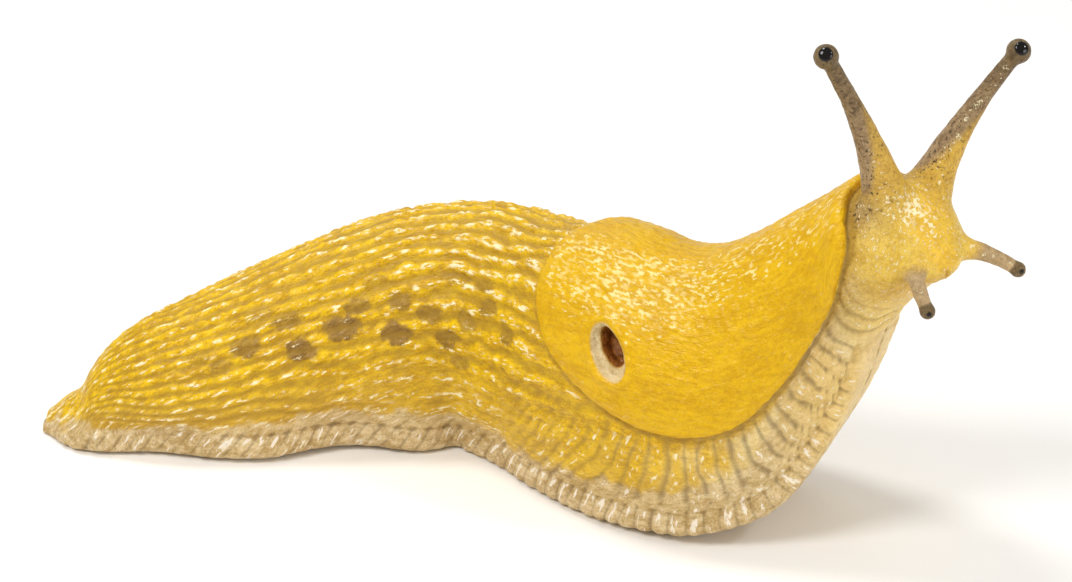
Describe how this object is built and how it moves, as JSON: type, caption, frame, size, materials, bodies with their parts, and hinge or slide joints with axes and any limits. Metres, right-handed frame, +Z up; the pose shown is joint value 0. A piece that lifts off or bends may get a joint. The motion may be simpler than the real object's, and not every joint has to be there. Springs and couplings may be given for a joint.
{
  "type": "yellow cellar slug",
  "caption": "Life-size yellow slug resting on its sole, front raised and head turned, with mantle shield, breathing pore and feelers out.",
  "frame": {"origin": "middle of the model's box at the level of the sole", "axes": "+X from the tail towards the head, +Y to the far side of the pictured view, +Z up"},
  "size_m": [0.0984, 0.0486, 0.0549],
  "materials": {
    "mantle_skin": "wet satin skin",
    "back_skin": "wet satin skin",
    "foot_skin": "wet satin skin",
    "head_skin": "wet satin skin",
    "feeler_skin": "wet satin skin",
    "eye_gloss": "gloss black"
  },
  "bodies": {
    "root": {"tail": "back_skin", "hind_body": "back_skin", "mid_body": "back_skin", "fore_body": "back_skin", "neck": "back_skin", "foot_rear": "foot_skin", "foot_middle": "foot_skin", "foot_front": "foot_skin", "mantle": "mantle_skin", "head": "head_skin", "upper_tentacle_left_low": "feeler_skin", "upper_tentacle_left_high": "feeler_skin", "upper_tentacle_left_tip": "feeler_skin", "upper_tentacle_right_low": "feeler_skin", "upper_tentacle_right_high": "feeler_skin", "upper_tentacle_right_tip": "feeler_skin", "lower_tentacle_left": "feeler_skin", "lower_tentacle_right": "feeler_skin", "eye_left": "eye_gloss", "eye_right": "eye_gloss"}
  },
  "joints": []
}
